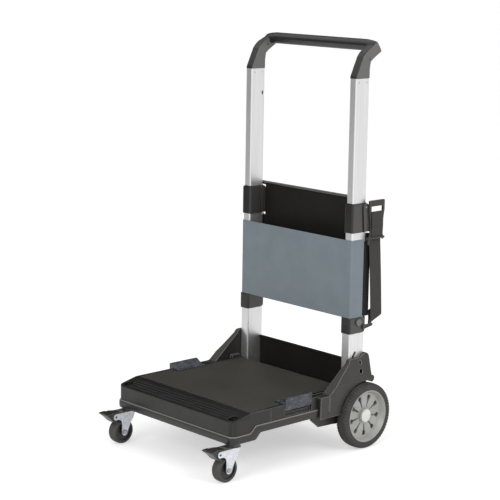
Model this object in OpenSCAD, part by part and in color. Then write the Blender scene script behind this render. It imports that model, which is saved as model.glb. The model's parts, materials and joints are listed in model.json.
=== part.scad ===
// Folding platform cart: two telescopic uprights on a wheeled rear chassis, a platform that folds up
// between the side brackets, two braked swivel casters, side latches and a lashing strap.
// +X is to the right, -Y is the platform's front, +Z is up. The floor is z = 0.

/* [Rear wheels] */
// Diameter of a rear wheel over the tyre
wheel_d = 180; // [160:1:200]
// Width of a rear tyre
wheel_w = 36; // [30:1:42]
// Overall width over the two tyres
overall_w = 516; // [508:1:560]
// Gap between a rear wheel and its side bracket
wheel_gap = 3; // [2:0.5:5]
// Diameter of the rim where the tyre sits
rim_d = 142; // [130:1:150]
// Diameter of the rear axle
axle_d = 16; // [12:1:18]
// Number of slots between the rim's petals
rim_slots = 9; // [5:1:10]

/* [Side brackets] */
// Thickness of a side bracket's plate
plate_t = 4; // [3:0.5:5]
// Height of a side bracket's top
bracket_top_z = 248; // [240:1:256]

/* [Uprights] */
// Width of a lower tube, across the cart
lower_w = 30; // [27:0.5:31]
// Depth of a lower tube, front to back
lower_d = 56; // [50:1:60]
// Wall of a lower tube
lower_wall = 1.5; // [1.4:0.1:2.2]
// Wall of a middle tube
middle_wall = 1; // [1:0.1:1.6]
// Wall of an upper tube
upper_wall = 1.6; // [1:0.1:2]
// Height of a lower tube's upper end
lower_top_z = 350; // [335:1:380]
// Height of a middle tube's upper end
middle_top_z = 650; // [640:1:680]
// Travel of the handle, from extended to lowered
handle_travel = 316; // [200:1:318]

/* [Handle] */
// Height of the grip bar's top
handle_top_z = 1096; // [1090:1:1160]
// Height of the handle over the upper tubes' visible ends
handle_h = 100; // [90:1:110]
// Thickness of the grip bar, measured up and down
grip_h = 31; // [26:1:36]
// Step of a handle leg over its tube, on each side
leg_step = 0.6; // [0.4:0.1:1.5]

/* [Platform] */
// Width of the platform's wide front part
deck_w = 462; // [440:1:470]
// Height of the platform's top face
deck_z = 170; // [165:1:178]
// Distance of the platform's front face in front of the lower tubes
deck_front = 434; // [415:1:450]
// Wall of the platform moulding
deck_wall = 4; // [3:0.5:5]
// Thickness of the deck sheet let into the top
sheet_t = 2.5; // [1.5:0.5:3]
// Length of the sloping grip band behind the front face
band_l = 62; // [50:1:75]
// Height of the front face, below the grip band
front_face_h = 36; // [34:1:39]
// Radius of the platform's front corners
corner_r = 16; // [10:1:22]
// Diameter of the platform's hinge pins
hinge_pin_d = 10; // [8:1:12]

/* [Casters] */
// Diameter of a caster wheel
caster_d = 67; // [60:1:69]
// Width of a caster wheel
caster_w = 28; // [22:1:30]
// Distance of a swivel axis from the platform's side face
caster_inset = 20; // [19:0.5:24]
// Distance of a caster wheel's axle from its swivel axis
caster_trail = 27; // [24:1:30]
// Diameter of a caster's kingpin
kingpin_d = 12; // [10:1:14]
// Diameter of a caster wheel's axle bolt
caster_bolt_d = 6; // [5:0.5:8]

/* [Panels and strap] */
// Height of the upper back panel's top rail over the upper collars
rail_rise = 10; // [8:1:26]
// Gap between the front cover and the upper collars
cover_gap = 20; // [12:1:48]
// Height of the lower back panel's upper edge
lower_panel_z = 229; // [210:1:260]
// Thickness of the front cover
cover_t = 2; // [1.5:0.1:2.5]
// Width of the lashing strap's webbing
strap_w = 44; // [35:1:50]
// Thickness of the webbing
strap_t = 2; // [1.5:0.1:2.5]

/* [Hidden] */
$fn = 48;

// Clearances
running = 0.05;      // radial, between a shaft and its bore
moving = 0.3;        // between two bodies that slide or swing past each other
seat = 0.02;         // between two pieces of one body that are fitted together
past = 1;            // how far a cut runs past the face it opens

// Uprights: three tubes that nest on one centre line
tube_r = 4;
nest = 0.2;
sleeve = 0.3;
upright_gap = overall_w - 2 * (wheel_w + wheel_gap + plate_t) - lower_w;
upright_x = upright_gap / 2;
middle_w = lower_w - 2 * (lower_wall + nest);
middle_d = lower_d - 2 * (lower_wall + nest);
upper_w = middle_w - 2 * (middle_wall + sleeve);
upper_d = middle_d - 2 * (middle_wall + sleeve);
tube_y = lower_d / 2;
tube_x_out = upright_x + lower_w / 2;
tube_x_in = upright_x - lower_w / 2;
handle_seat_l = 34;
plug_l = 24;
bush_l = 14;
bush_proud = 2.5;
collar_top_z = middle_top_z + bush_l;
upper_top_z = handle_top_z - handle_h;
upper_bottom_z = middle_top_z - 86;

// Rear axle and beam
wheel_r = wheel_d / 2;
wheel_x_out = overall_w / 2;
wheel_x_in = wheel_x_out - wheel_w;
axle_r = axle_d / 2;
axle_y = 36;
axle_z = wheel_r;
beam_top_z = axle_z + 20;
beam_bottom_z = axle_z - 18;
beam_y0 = 2;
beam_y1 = 62;
beam_wall = 5;
spigot_h = 40;
lower_bottom_z = beam_top_z;
middle_bottom_z = beam_top_z + spigot_h + 5;

// Side brackets: a plate against the tube's outer face and a guard round the wheel
plate_x = tube_x_out;
guard_x = wheel_x_out - 16;
guard_r = wheel_r + 5;
bracket_front_y = -130;
bracket_rear_y = 66;
bracket_foot_z = 108;

// Collars
collar_grow = 3.2;
upper_collar_z0 = collar_top_z - 76;
lower_collar_z0 = lower_top_z - 36;
lower_collar_z1 = lower_top_z + 6;
collar_r = 7;
lever_pin_r = 2.5;
lever_pin_y = tube_y + 18;
lever_pin_z = collar_top_z - 9;
lever_t = 3.4;
lever_gap = 0.4;
lever_head_r = 11;
lever_l = 66;

// Release buttons
button_r = 9;
button_proud = 2;
button_travel = 3;
button_stem_r = 4;
button_z = lower_top_z - 6;

// Platform
hinge_y = -58;
hinge_z = deck_z - 16;
hinge_r = hinge_pin_d / 2;
deck_x = deck_w / 2;
side_z0 = deck_z - 56;
corner_z0 = deck_z - 73;
deck_rear_y = -9;
wide_rear_y = bracket_front_y - 3;
neck_x = plate_x - 5;
lip_t = 4;
lip_h = 21;
front_y = -deck_front;
band_z = side_z0 + front_face_h + 6;
corner_l = 76;
step_l = 22;
rim_w = 12;
caster_x = deck_x - caster_inset;
caster_y = front_y + caster_inset;
socket_r = caster_inset - 1;
latch_l = 96;
latch_rear = 22;
latch_y0 = wide_rear_y - latch_rear - latch_l;
rib_t = 3;
rib_h = 26;
rib_x = 120;
cross_rib_pitch = 90;
cross_rib_y = wide_rear_y - 17;
latch_x = deck_x - 8;
latch_z = deck_z - 15;
latch_pin_r = 3;
latch_top_z = deck_z + 16;
pocket_wall = 4;
pocket_play = 1;

// Casters
caster_r = caster_d / 2;
fork_top_z = corner_z0 - 8.6;
fork_t = 3;
fork_gap = 1.5;
fork_x = caster_w / 2 + fork_gap;
fork_skirt_z = fork_top_z - 15.4;
fork_eye_r = 9.5;
pedal_pivot = [-57, fork_top_z - 8.4];
shoe_gap = 3.6;
pedal_pin_r = 3;
pedal_tip = -87;
pedal_z = corner_z0 - 5.5;
flange_z = fork_top_z + 0.6;

// Panels
panel_y = tube_y + middle_d / 2;
panel_t = 4;
cover_x = upright_x + middle_w / 2 + moving;
cover_y = tube_y - middle_d / 2 - moving;
cover_bottom_z = lower_collar_z1 + 1;
cover_top_z = upper_collar_z0 - cover_gap;
rail_r = 4;
rail_y = tube_y + upper_d / 2 + moving + rail_r + 0.5;
rail_z = collar_top_z + rail_rise;
back_x = tube_x_out - 1;
back_top_z = upper_collar_z0 - 6;
neck_panel_x = upright_x - middle_w / 2 - collar_grow - lever_gap - lever_t - 1.2;

// Strap
buckle_x0 = tube_x_out + 6;
buckle_t = 5;
buckle_y0 = panel_y + panel_t - 5;
buckle_w = strap_w + 14;
buckle_z0 = cover_top_z - 4;
buckle_l = 108;
window_w = buckle_w - 14;
window_h = 16;
window_drop = 16;
strap_z0 = lower_top_z - 15;
strap_y = buckle_y0 + buckle_w / 2;
strap_x = buckle_x0 - strap_t - 0.3;
strap_lean = 16;
strap_cut = 17;
strap_foot_y0 = strap_y - strap_w / 2 + strap_lean;
strap_foot_y1 = strap_y + strap_w / 2 + strap_lean - 1;
flange_d = 13;

// The frame's origin is under the middle of the whole cart
cart_front_y = caster_y + pedal_tip;
cart_rear_y = axle_y + wheel_r;
origin_y = -(cart_front_y + cart_rear_y) / 2;

// ---------------------------------------------------------------- helpers

function arc(cx, cy, r, a0, a1, n) = [for (i = [0:n]) let (a = a0 + (a1 - a0) * i / n) [cx + r * cos(a), cy + r * sin(a)]];

function rounded(w, d, r, n = 5) = concat(
    arc(w / 2 - r, d / 2 - r, r, 0, 90, n),
    arc(r - w / 2, d / 2 - r, r, 90, 180, n),
    arc(r - w / 2, r - d / 2, r, 180, 270, n),
    arc(w / 2 - r, r - d / 2, r, 270, 360, n)
);

// Draws its children at their place in the origin's frame
module placed() {
    translate([0, origin_y, 0]) children();
}

// Draws the right-hand piece, or its mirror image on the left
module on_side(side) {
    if (side > 0) children();
    else mirror([1, 0, 0]) children();
}

module on_both_sides() {
    children();
    mirror([1, 0, 0]) children();
}

// Extrudes an outline drawn in Y and Z along X
module across(x0, x1) {
    translate([x0, 0, 0]) rotate([90, 0, 90]) linear_extrude(x1 - x0) children();
}

module x_rod(r, x0, x1) {
    translate([x0, 0, 0]) rotate([0, 90, 0]) cylinder(r = r, h = x1 - x0);
}

module y_rod(r, y0, y1) {
    translate([0, y0, 0]) rotate([-90, 0, 0]) cylinder(r = r, h = y1 - y0);
}

module slab(x0, x1, y0, y1, z0, z1) {
    translate([x0, y0, z0]) cube([x1 - x0, y1 - y0, z1 - z0]);
}

// A block with rounded upright edges, on an upright's centre line
module tube_block(w, d, r, z0, z1) {
    translate([upright_x, tube_y, z0]) linear_extrude(z1 - z0) polygon(rounded(w, d, r));
}

module tube(w, d, wall, z0, z1) {
    difference() {
        tube_block(w, d, tube_r, z0, z1);
        tube_block(w - 2 * wall, d - 2 * wall, tube_r - wall, z0 - past, z1 + past);
    }
}

// ---------------------------------------------------------------- uprights

// Outer tube; its release stem's hole and a slanted drain slot open its outer face
module lower_tube() {
    color("silver") difference() {
        tube(lower_w, lower_d, lower_wall, lower_bottom_z, lower_top_z);
        translate([0, tube_y, button_z]) x_rod(button_stem_r + moving, upright_x, tube_x_out + past);
        translate([tube_x_out, tube_y - 9.5, bracket_top_z + 8]) rotate([-38, 0, 0])
            cube([2 * lower_wall, 4, 15], center = true);
    }
}

module middle_tube() {
    color("gainsboro") difference() {
        tube(middle_w, middle_d, middle_wall, middle_bottom_z, middle_top_z);
        translate([0, tube_y, button_z]) x_rod(button_stem_r + moving, upright_x, tube_x_out + past);
    }
}

module upper_tube() {
    color("whitesmoke") difference() {
        tube(upper_w, upper_d, upper_wall, upper_bottom_z, upper_top_z);
        for (y = rivet_ys) translate([0, y, rivet_z]) x_rod(rivet_r + seat, tube_x_in, tube_x_out);
        translate([0, tube_y + 16, upper_top_z - 68]) {
            for (z = [-3, 3]) translate([0, 0, z]) x_rod(2.5, tube_x_in, upright_x);
            slab(tube_x_in, upright_x, -2.5, 2.5, -3, 3);
        }
    }
}

module guide_bush() {
    color("dimgray") difference() {
        tube_block(middle_w, middle_d, tube_r, middle_top_z, collar_top_z + bush_proud);
        tube_block(upper_w + 2 * moving, upper_d + 2 * moving, tube_r, middle_top_z - past,
            collar_top_z + bush_proud + past);
    }
}

module tube_end_plug() {
    color("black") difference() {
        union() {
            tube_block(upper_w - 2 * (upper_wall + seat), upper_d - 2 * (upper_wall + seat),
                tube_r - upper_wall, upper_bottom_z, upper_bottom_z + plug_l);
            tube_block(middle_w - 2 * (middle_wall + moving), middle_d - 2 * (middle_wall + moving),
                tube_r - middle_wall - moving, upper_bottom_z - 8, upper_bottom_z);
        }
        tube_block(upper_w - 2 * upper_wall - 8, upper_d - 2 * upper_wall - 8, 1,
            upper_bottom_z - 8 - past, upper_bottom_z + plug_l + past);
    }
}

// ---------------------------------------------------------------- collars

upper_collar_w = middle_w + 2 * collar_grow;
upper_collar_d = middle_d + 2 * collar_grow;
lower_collar_w = lower_w + 2 * collar_grow;
lower_collar_d = lower_d + 2 * collar_grow;

module upper_collar() {
    color([0.13, 0.13, 0.13]) difference() {
        tube_block(upper_collar_w, upper_collar_d, collar_r, upper_collar_z0, collar_top_z);
        tube_block(middle_w + 2 * seat, middle_d + 2 * seat, tube_r, upper_collar_z0 - past,
            collar_top_z + past);
        translate([0, lever_pin_y, lever_pin_z]) x_rod(lever_pin_r + seat, 0, 2 * upright_x);
    }
}

module lever_pin() {
    half_w = upper_collar_w / 2 + lever_gap + lever_t;
    for (side = [-1, 1]) {
        x0 = side < 0 ? -half_w : middle_w / 2 + 0.2;
        translate([upright_x, lever_pin_y, lever_pin_z])
            x_rod(lever_pin_r, x0, x0 + half_w - middle_w / 2 - 0.2);
    }
}

// Cam lever: two arms beside the collar, joined behind it
module clamp_lever() {
    inner = upper_collar_w / 2 + lever_gap;
    rear = tube_y + upper_collar_d / 2 + lever_gap - lever_pin_y;
    module arm_outline() {
        circle(r = lever_head_r);
        polygon([
            [-lever_head_r, 0], [-6, -lever_l], [rear + lever_t, -lever_l],
            [rear + lever_t, -8], [lever_head_r, 0]
        ]);
    }
    color([0.16, 0.16, 0.16]) translate([upright_x, lever_pin_y, lever_pin_z]) {
        difference() {
            union() {
                for (x = [-inner - lever_t, inner]) across(x, x + lever_t) arm_outline();
                slab(-inner - lever_t, inner + lever_t, rear, rear + lever_t, -lever_l, -lever_head_r);
            }
            x_rod(lever_pin_r + running, -inner - lever_t - past, inner + lever_t + past);
        }
    }
}

module lower_collar() {
    bore_l = lower_top_z + seat;
    color([0.12, 0.12, 0.12]) difference() {
        intersection() {
            tube_block(lower_collar_w, lower_collar_d, collar_r, lower_collar_z0, lower_collar_z1);
            across(0, 2 * upright_x) polygon(concat(
                [[-collar_grow - past, lower_collar_z1 + past], [-collar_grow - past, lower_collar_z0]],
                arc(lower_d + collar_grow - 14, lower_collar_z0 + 14, 14, 270, 360, 6),
                [[lower_d + collar_grow, lower_collar_z1 + past]]
            ));
        }
        tube_block(lower_w + 2 * seat, lower_d + 2 * seat, tube_r, lower_collar_z0 - past, bore_l);
        tube_block(middle_w + 2 * seat, middle_d + 2 * seat, tube_r, lower_top_z - past,
            lower_collar_z1 + past);
        translate([0, tube_y, button_z]) x_rod(button_stem_r + moving, upright_x, 2 * upright_x);
        translate([0, tube_y, button_z]) x_rod(button_r + moving, tube_x_out + 0.4, 2 * upright_x);
    }
}

module release_button() {
    cap_x0 = tube_x_out + 0.4 + button_travel + 0.4;
    color("lightgray") translate([0, tube_y, button_z]) {
        x_rod(button_r, cap_x0, tube_x_out + collar_grow + button_travel + button_proud);
        x_rod(button_stem_r, upright_x + middle_w / 2 - middle_wall + button_travel, cap_x0);
    }
}

// ---------------------------------------------------------------- chassis

module axle_beam() {
    inner_w = lower_w - 2 * (lower_wall + seat);
    inner_d = lower_d - 2 * (lower_wall + seat);
    color([0.1, 0.1, 0.1]) difference() {
        union() {
            slab(-tube_x_out, tube_x_out, beam_y0, beam_y1, beam_bottom_z, beam_top_z);
            on_both_sides() tube_block(inner_w, inner_d, tube_r - lower_wall, beam_top_z,
                beam_top_z + spigot_h);
        }
        slab(-tube_x_in, tube_x_in, beam_y0 + beam_wall, beam_y1 - beam_wall,
            beam_bottom_z - past, axle_z - axle_r - 3);
        translate([0, axle_y, axle_z]) x_rod(axle_r + seat, -tube_x_out - past, tube_x_out + past);
        on_both_sides() for (z = beam_screw_zs) translate([0, tube_y, z])
            x_rod(screw_r + seat, tube_x_out - 20, tube_x_out + past);
    }
}

bracket_outline = concat(
    [[bracket_front_y, bracket_foot_z], [bracket_front_y, deck_z - 3]],
    arc(bracket_front_y + 27, deck_z + 13, 16, 270, 312, 4),
    [[-12, bracket_top_z - 9]],
    arc(-1, bracket_top_z - 14, 14, 132, 90, 3),
    [[34, bracket_top_z]],
    arc(bracket_rear_y - 12, bracket_top_z - 2, 12, 120, 0, 6),
    [[bracket_rear_y, bracket_foot_z]]
);

// Plate, wheel guard with its arch, and the lug that stops the unfolded platform
module side_bracket() {
    color([0.2, 0.2, 0.19]) difference() {
        union() {
            across(plate_x, plate_x + plate_t) {
                polygon(bracket_outline);
                polygon([
                    [bracket_front_y - 15, bracket_foot_z - 3],
                    [bracket_front_y + 15, beam_bottom_z + 8],
                    [hinge_y - 2, beam_bottom_z + 6], [0, beam_bottom_z], [beam_y1, beam_bottom_z],
                    [bracket_rear_y, bracket_foot_z + 1], [bracket_front_y, bracket_foot_z + 1]
                ]);
            }
            across(plate_x + plate_t, guard_x) difference() {
                polygon(bracket_outline);
                translate([axle_y, axle_z]) circle(r = guard_r, $fn = 96);
            }
            slab(plate_x - 8, plate_x, deck_rear_y - 30, deck_rear_y - 2, deck_z + moving, deck_z + 8);
            translate([0, axle_y, axle_z]) x_rod(axle_r + 6, plate_x, wheel_x_in - moving);
        }
        // The guard's outer face leans in towards the top
        translate([0, bracket_rear_y + past, 0]) rotate([90, 0, 0])
            linear_extrude(bracket_rear_y - bracket_front_y + 2 * past) polygon([
                [guard_x + past, deck_z + 16], [guard_x, deck_z + 18], [guard_x - 6, bracket_top_z - 40],
                [guard_x - 17.7, bracket_top_z + 12], [guard_x + past, bracket_top_z + 12]
            ]);
        translate([0, axle_y, axle_z]) x_rod(axle_r + seat, plate_x - past, wheel_x_out);
        translate([0, hinge_y, hinge_z]) x_rod(hinge_r + seat, plate_x - past, guard_x - 6);
        slab(guard_x - 2, guard_x + past, -99, -96, deck_z - 44, deck_z - 5);
        for (z = bracket_screw_zs) translate([0, tube_y, z]) {
            x_rod(screw_r + seat, plate_x - past, guard_x + past);
            x_rod(screw_head_r + 1, plate_x + plate_t + 6, guard_x + past);
        }
        for (z = beam_screw_zs) translate([0, tube_y, z])
            x_rod(screw_head_r + 0.5, plate_x - past, plate_x + plate_t + past);
    }
}

// Screws: beam to tube, and bracket to tube
screw_r = 3;
screw_head_r = 5.5;
screw_head_t = 3;
beam_screw_zs = [beam_top_z + 12, beam_top_z + 30];
bracket_screw_zs = [bracket_top_z - 36, bracket_top_z - 12];

module bracket_screw(z) {
    head_x = plate_x + plate_t + 6;
    translate([0, tube_y, z]) {
        x_rod(screw_r, plate_x, head_x);
        difference() {
            x_rod(screw_head_r, head_x, head_x + screw_head_t);
            x_rod(2.2, head_x + 1, head_x + screw_head_t + past, $fn = 6);
        }
    }
}

module beam_screw(z) {
    translate([0, tube_y, z]) {
        x_rod(screw_r, tube_x_out - lower_wall - 14, plate_x);
        x_rod(screw_head_r, plate_x, plate_x + screw_head_t);
    }
}

// The tube's holes are drilled for the same screws
module screw_holes() {
    for (z = concat(beam_screw_zs, bracket_screw_zs)) translate([0, tube_y, z])
        x_rod(screw_r + seat, upright_x, tube_x_out + past);
}

module frame_screws() {
    color("gray") on_both_sides() {
        for (z = bracket_screw_zs) bracket_screw(z);
        for (z = beam_screw_zs) beam_screw(z);
    }
}

module rear_axle() {
    color("lightgray") translate([0, axle_y, axle_z]) x_rod(axle_r, -axle_end_x, axle_end_x);
}

// Push-on rings that keep the wheels on the axle
axle_end_x = wheel_x_out - 15;
retainer_t = 2;
module axle_retainer() {
    color("gray") translate([0, axle_y, axle_z]) difference() {
        x_rod(axle_r + 4, axle_end_x - retainer_t - 0.5, axle_end_x - 0.5);
        x_rod(axle_r + seat, 0, wheel_x_out);
    }
}

module rear_bumper() {
    color([0.08, 0.08, 0.08]) translate([0, bracket_rear_y, axle_z + wheel_r + 7]) difference() {
        x_rod(9.5, plate_x + 2, guard_x - 2);
        slab(plate_x, guard_x, -20, 0, -20, 20);
    }
}

// ---------------------------------------------------------------- panels

module lower_back_panel() {
    color([0.12, 0.12, 0.11]) {
        slab(-tube_x_in, tube_x_in, lower_d - 7, lower_d - 3, beam_top_z, lower_panel_z);
        slab(-tube_x_in, tube_x_in, lower_d - 12, lower_d - 7, lower_panel_z - 4, lower_panel_z);
    }
}

// Sheet behind the middle tubes: wide below the collars, narrow between their levers
module upper_back_panel() {
    wide_top_z = lever_pin_z + lever_head_r + 2;
    color([0.12, 0.12, 0.11]) {
        slab(-back_x, back_x, panel_y, panel_y + panel_t, cover_bottom_z, back_top_z);
        on_both_sides() slab(back_x - 12, back_x, panel_y + panel_t, panel_y + panel_t + flange_d,
            cover_bottom_z, back_top_z);
        slab(-neck_panel_x, neck_panel_x, panel_y, panel_y + panel_t, back_top_z, wide_top_z);
        slab(1 - upright_x, upright_x - 1, panel_y, panel_y + panel_t, wide_top_z, rail_z - rail_r);
    }
}

module upper_panel_rail() {
    color("dimgray") translate([0, rail_y, rail_z])
        x_rod(rail_r, 1 - upright_x, upright_x - 1);
}

cover_r = tube_r + cover_t;
cover_wrap_y = 46;
module front_cover() {
    outer = concat(
        [[cover_x + cover_t, cover_wrap_y], [-cover_x - cover_t, cover_wrap_y]],
        arc(cover_r - cover_x - cover_t, cover_y - cover_t + cover_r, cover_r, 180, 270, 6),
        arc(cover_x + cover_t - cover_r, cover_y - cover_t + cover_r, cover_r, 270, 360, 6)
    );
    inner_r = cover_r - cover_t;
    inner = concat(
        [[cover_x, cover_wrap_y + past], [-cover_x, cover_wrap_y + past]],
        arc(inner_r - cover_x, cover_y + inner_r, inner_r, 180, 270, 6),
        arc(cover_x - inner_r, cover_y + inner_r, inner_r, 270, 360, 6)
    );
    color("lightslategray") translate([0, 0, cover_bottom_z])
        linear_extrude(cover_top_z - cover_bottom_z) difference() {
            polygon(outer);
            polygon(inner);
        }
}

// ---------------------------------------------------------------- strap

// Waisted plate with a window above and two claws below, on a bracket of the back panel
module strap_buckle() {
    color([0.2, 0.2, 0.2]) difference() {
        union() {
            translate([0, buckle_y0, buckle_z0]) across(buckle_x0, buckle_x0 + buckle_t) polygon([
                [0, 3], [3, 0], [9, 6], [buckle_w - 9, 6], [buckle_w - 3, 0], [buckle_w, 3],
                [buckle_w - 5, 16], [buckle_w - 6, 36], [buckle_w - 3, 64], [buckle_w, 80],
                [buckle_w, buckle_l - 2], [buckle_w - 2, buckle_l], [2, buckle_l], [0, buckle_l - 2],
                [0, 80], [3, 64], [6, 36], [5, 16]
            ]);
            slab(back_x, buckle_x0 + 1, panel_y, strap_y - strap_w / 2 - moving,
                buckle_z0 - 12, buckle_z0 + 8);
        }
        translate([buckle_x0 - past, buckle_y0 + (buckle_w - window_w) / 2,
            buckle_z0 + buckle_l - window_drop - window_h])
            cube([buckle_t + 2 * past, window_w, window_h]);
    }
}

module strap() {
    color([0.28, 0.27, 0.26])
        across(strap_x, strap_x + strap_t) polygon([
            [strap_y - strap_w / 2, buckle_z0 + 14], [strap_y - strap_w / 2, buckle_z0],
            [strap_foot_y0, strap_z0], [strap_foot_y1, strap_z0 + strap_cut],
            [strap_y + strap_w / 2, buckle_z0], [strap_y + strap_w / 2, buckle_z0 + 14]
        ]);
}

// An arm on the lower collar, with the slanted bar that the strap is looped round
module strap_hook() {
    hook_x = upright_x + lower_collar_w / 2;
    top_z = strap_z0 - moving;
    color([0.15, 0.15, 0.15]) {
        across(hook_x, hook_x + 4) polygon([
            [tube_y + 16, top_z - 12], [strap_foot_y0 + 5, top_z - 6], [strap_foot_y0 + 5, top_z],
            [tube_y + 16, top_z]
        ]);
        across(hook_x - 5, hook_x) polygon([
            [strap_foot_y0 - 4, top_z - 6], [strap_foot_y0 + 4, top_z - 6], [strap_foot_y0 + 5, strap_z0 + 4.6],
            [strap_foot_y1 - 1, strap_z0 + strap_cut + 2.6], [strap_foot_y1 - 1, strap_z0 + strap_cut + 8],
            [strap_foot_y0 - 4, strap_z0 + 8]
        ]);
    }
}

// ---------------------------------------------------------------- handle

rivet_r = 2;
rivet_z = upper_top_z - 10;
rivet_ys = [tube_y - 14, tube_y + 14];

grip_y0 = 60;
grip_y1 = 94;
leg_w = upper_w + 2 * leg_step;
leg_y0 = tube_y - upper_d / 2 - leg_step;
leg_y1 = tube_y + upper_d / 2 + leg_step;
bend_z = upper_top_z + 32;
grip_z0 = handle_top_z - grip_h;

leg_outline = concat(
    [[leg_y0, upper_top_z], [leg_y1, upper_top_z], [leg_y1, bend_z], [leg_y1 + 4, bend_z + 9]],
    [[grip_y1 - 12, grip_z0 - 2]],
    arc(grip_y1 - 12, grip_z0 + 10, 12, -30, 20, 3),
    arc(grip_y1 - 20, handle_top_z - 14, 14, 40, 90, 3),
    [[grip_y0 + 4, handle_top_z - 3]],
    [[leg_y0 + 44, handle_top_z - 18]],
    arc(leg_y0 + 45, handle_top_z - 60, 36, 112, 165, 5),
    [[leg_y0 + 2.4, upper_top_z + 22]]
);

// Front view of the legs: upright, then drawn in towards the grip bar
leg_front = [
    [-leg_w / 2 - 30, upper_top_z - past], [leg_w / 2, upper_top_z - past],
    [leg_w / 2, handle_top_z - 60], [leg_w / 2 - 3, handle_top_z - 38],
    [leg_w / 2 - 12, handle_top_z - 16], [leg_w / 2 - 26, handle_top_z],
    [-leg_w / 2 - 30, handle_top_z]
];

module handle_grip() {
    spigot_w = upper_w - 2 * (upper_wall + seat);
    spigot_d = upper_d - 2 * (upper_wall + seat);
    color([0.2, 0.2, 0.2]) difference() {
        union() {
            on_both_sides() {
                intersection() {
                    across(upright_x - leg_w / 2, upright_x + leg_w / 2) polygon(leg_outline);
                    translate([upright_x, grip_y1 + past, 0]) rotate([90, 0, 0])
                        linear_extrude(grip_y1 + 2 * past) polygon(leg_front);
                }
                tube_block(spigot_w, spigot_d, tube_r - upper_wall, upper_top_z - handle_seat_l,
                    upper_top_z);
            }
            translate([0, (grip_y0 + grip_y1) / 2 - 1, handle_top_z - grip_h / 2])
                across(5 - upright_x, upright_x - 5) polygon(rounded(grip_y1 - grip_y0 - 4, grip_h, 11));
        }
        on_both_sides() for (y = rivet_ys) translate([0, y, rivet_z])
            x_rod(rivet_r + seat, tube_x_in, tube_x_out);
    }
}

module handle_rivets() {
    color("silver") on_both_sides() for (y = rivet_ys) translate([upright_x, y, rivet_z])
        x_rod(rivet_r, -upper_w / 2, upper_w / 2);
}

// ---------------------------------------------------------------- platform

function plan_outline(grow) = concat(
    arc(corner_r - deck_x - grow, front_y - grow + corner_r, corner_r, 180, 270, 6),
    arc(deck_x + grow - corner_r, front_y - grow + corner_r, corner_r, 270, 360, 6),
    [[deck_x + grow, wide_rear_y], [neck_x, wide_rear_y], [neck_x, deck_rear_y]],
    [[-neck_x, deck_rear_y], [-neck_x, wide_rear_y], [-deck_x - grow, wide_rear_y]]
);

// Side view of the moulding: deep at the casters, stepped up behind them
module side_outline(inset) {
    polygon([
        [front_y + inset, corner_z0 - (inset > 0 ? past : 0)],
        [front_y + inset, band_z - inset / 2],
        [front_y + band_l + inset / 2, deck_z - inset],
        [deck_rear_y - inset, deck_z - inset],
        [deck_rear_y - inset, side_z0 - (inset > 0 ? past : 0)],
        [front_y + corner_l + step_l - inset / 2, side_z0 - (inset > 0 ? past : 0)],
        [front_y + corner_l - inset / 2, corner_z0 - (inset > 0 ? past : 0)]
    ]);
}

band_slope = atan2(deck_z - band_z, band_l);
groove_n = 4;
groove_pitch = 11;

module platform_tray() {
    cavity_x = deck_x - deck_wall;
    color([0.2, 0.19, 0.18]) difference() {
        union() {
            difference() {
                intersection() {
                    across(-deck_x, deck_x) side_outline(0);
                    translate([0, 0, corner_z0]) linear_extrude(deck_z) polygon(plan_outline(0));
                }
                // Hollow from below, in the wide part and in the neck
                intersection() {
                    across(-cavity_x, cavity_x) side_outline(deck_wall + sheet_t);
                    union() {
                        slab(-cavity_x, cavity_x, front_y, wide_rear_y - deck_wall, 0, deck_z);
                        slab(deck_wall - neck_x, neck_x - deck_wall, front_y, deck_rear_y, 0, deck_z);
                    }
                }
            }
            // Caster bosses
            on_both_sides() translate([caster_x - 1, caster_y + 1, corner_z0])
                cylinder(r = socket_r - 1, h = band_z - corner_z0);
            // Ribs under the deck
            for (x = [-rib_x, 0, rib_x]) slab(x - rib_t / 2, x + rib_t / 2, front_y + band_l,
                deck_rear_y - deck_wall, deck_z - rib_h - 4, deck_z - deck_wall - sheet_t + 1);
            for (i = [0:2]) translate([0, cross_rib_y - i * cross_rib_pitch, 0])
                slab(-cavity_x, cavity_x, -rib_t / 2, rib_t / 2,
                    deck_z - rib_h, deck_z - deck_wall - sheet_t + 1);
            // Latch pockets and hinge bosses
            on_both_sides() {
                slab(latch_x - 22, deck_x, latch_y0 - pocket_play - pocket_wall,
                    latch_y0 + latch_l + pocket_play + pocket_wall, side_z0 + 12, deck_z - sheet_t);
                translate([0, hinge_y, hinge_z]) x_rod(hinge_r + 7, neck_x - 10, neck_x);
            }
        }
        // Let-in for the deck sheet
        sheet_body(0.1, past);
        // Grip band's grooves
        for (i = [0:groove_n - 1]) translate([0, front_y, band_z]) rotate([band_slope, 0, 0])
            slab(-deck_x + 30, deck_x - 30, 9 + i * groove_pitch, 14 + i * groove_pitch, -1.6, 10);
        on_both_sides() {
            translate([0, hinge_y, hinge_z]) x_rod(hinge_r + running, 0, plate_x);
            translate([caster_x, caster_y, corner_z0 - past]) {
                cylinder(r = kingpin_d / 2 + seat, h = deck_z);
                translate([0, 0, past + 46]) cylinder(r = 12.5, h = deck_z);
            }
            latch_cut();
            // Slot in the side wall
            slab(deck_x - 2, deck_x + past, latch_y0 - 52, latch_y0 - 49, side_z0 + 23, deck_z - 2);
        }
    }
}

module latch_cut() {
    slab(latch_x - 18, deck_x + past, latch_y0 - pocket_play, latch_y0 + latch_l + pocket_play,
        latch_z - 8, deck_z + past);
    slab(deck_x - 6, deck_x + past, latch_y0 - pocket_play, latch_y0 + latch_l + pocket_play,
        side_z0 + 24, latch_z);
    translate([latch_x, 0, latch_z])
        y_rod(latch_pin_r + seat, latch_y0 - 10, latch_y0 + latch_l + 10);
}

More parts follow.
